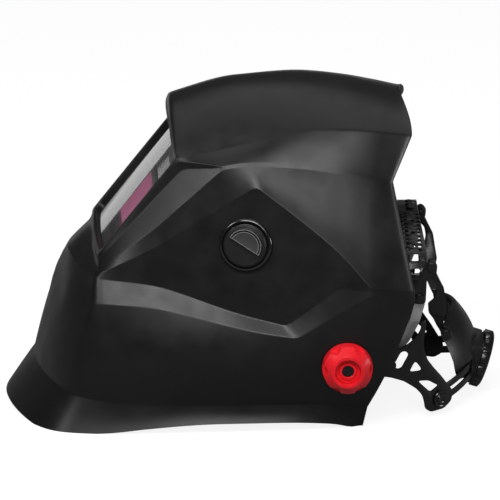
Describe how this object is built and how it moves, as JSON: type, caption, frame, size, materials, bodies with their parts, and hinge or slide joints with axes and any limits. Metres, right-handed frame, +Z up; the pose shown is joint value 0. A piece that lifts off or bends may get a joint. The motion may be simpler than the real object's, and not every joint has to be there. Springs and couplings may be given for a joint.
{
  "type": "welding helmet",
  "caption": "Black moulded welding helmet with a sloping auto-darkening filter window, side shade dial, red pivot tension knobs and a ratchet headgear with crown strap.",
  "frame": {"origin": "middle of the whole object in plan, at the plane that the lowest rim rests on", "axes": "+Z up; the mask faces -X and the headgear trails to +X; the wearer's left side with the shade dial is -Y"},
  "size_m": [0.3771, 0.2668, 0.2545],
  "materials": {
    "shell_plastic": "satin moulded",
    "dark_plastic": "satin moulded",
    "band_plastic": "satin moulded",
    "grey_plastic": "satin moulded",
    "red_plastic": "satin gloss",
    "clear_lens": "clear, gloss",
    "filter_pane": "pink interference coat",
    "solar_film": "gloss",
    "steel": "plated",
    "black_steel": "black oxide",
    "washer_plastic": "plain",
    "sweat_cloth": "towelling",
    "pad_foam": "foam with knit cover"
  },
  "bodies": {
    "shell": {"helmet_shell": "shell_plastic", "cover_lens": "clear_lens", "cartridge_holder": "dark_plastic", "filter_case_front": "dark_plastic", "filter_glass": "filter_pane", "filter_case_back": "dark_plastic", "solar_cell": "solar_film", "arc_sensors": "solar_film", "inner_cover_lens": "clear_lens", "dial_ring": "dark_plastic", "potentiometer_body": "steel", "potentiometer_nut": "steel"},
    "shade_control": {"shade_knob": "dark_plastic", "potentiometer_shaft": "steel"},
    "sensitivity": {"sensitivity_dial": "dark_plastic"},
    "delay": {"delay_dial": "dark_plastic"},
    "test": {"test_button": "red_plastic"},
    "battery": {"battery_tray": "dark_plastic", "coin_cell": "steel"},
    "carriage": {"left_pivot_bolt": "black_steel", "right_pivot_bolt": "black_steel", "friction_washers": "washer_plastic", "slide_blocks": "dark_plastic"},
    "left_knob": {"left_tension_knob": "red_plastic", "left_knob_nut": "black_steel"},
    "right_knob": {"right_tension_knob": "red_plastic", "right_knob_nut": "black_steel"},
    "headband": {"left_side_arm": "band_plastic", "right_side_arm": "band_plastic", "forehead_band": "band_plastic", "sweatband": "sweat_cloth", "left_crown_strap": "band_plastic", "right_crown_strap": "band_plastic", "strap_pegs": "band_plastic", "left_strap_link": "grey_plastic", "right_strap_link": "grey_plastic", "left_rear_arm": "band_plastic", "right_rear_arm": "band_plastic", "ratchet_housing": "band_plastic", "ratchet_cover": "band_plastic", "nape_pad": "pad_foam", "left_band_rack": "band_plastic", "right_band_rack": "band_plastic", "arm_rivets": "band_plastic"},
    "ratchet": {"ratchet_knob": "band_plastic", "ratchet_pinion": "band_plastic", "knob_screw": "steel"}
  },
  "joints": [
    {"name": "shade_knob_turn", "type": "hinge", "parent": "shell", "child": "shade_control", "pos_m": [-0.0069, -0.09429, 0.1458], "axis": [-0.1794, -0.9729, 0.1459], "range_deg": [0, 270]},
    {"name": "sensitivity_turn", "type": "hinge", "parent": "shell", "child": "sensitivity", "pos_m": [-0.05139, -0.033, 0.18139], "axis": [-0.7844, 0, 0.6203], "range_deg": [0, 270]},
    {"name": "delay_turn", "type": "hinge", "parent": "shell", "child": "delay", "pos_m": [-0.05139, 0.033, 0.18139], "axis": [-0.7844, 0, 0.6203], "range_deg": [0, 270]},
    {"name": "test_press", "type": "slide", "parent": "shell", "child": "test", "axis": [-0.7844, 0, 0.6203], "range_m": [0, 0.001], "stiffness_N_per_m": 400},
    {"name": "battery_slide", "type": "slide", "parent": "shell", "child": "battery", "axis": [0.6203, 0, 0.7844], "range_m": [0, 0.027]},
    {"name": "headgear_tilt", "type": "hinge", "parent": "shell", "child": "carriage", "pos_m": [0.0692, 0, 0.0545], "axis": [0, -1, 0], "range_deg": [0, 80]},
    {"name": "left_knob_turn", "type": "hinge", "parent": "carriage", "child": "left_knob", "pos_m": [0.0692, -0.118, 0.0545], "axis": [0, -1, 0], "continuous": true},
    {"name": "right_knob_turn", "type": "hinge", "parent": "carriage", "child": "right_knob", "pos_m": [0.0692, 0.118, 0.0545], "axis": [0, 1, 0], "continuous": true},
    {"name": "headgear_slide", "type": "slide", "parent": "carriage", "child": "headband", "axis": [1, 0, 0], "range_m": [-0.009, 0.009]},
    {"name": "ratchet_turn", "type": "hinge", "parent": "headband", "child": "ratchet", "pos_m": [0.1697, 0, 0.0274], "axis": [0.9511, 0, -0.309], "continuous": true}
  ]
}
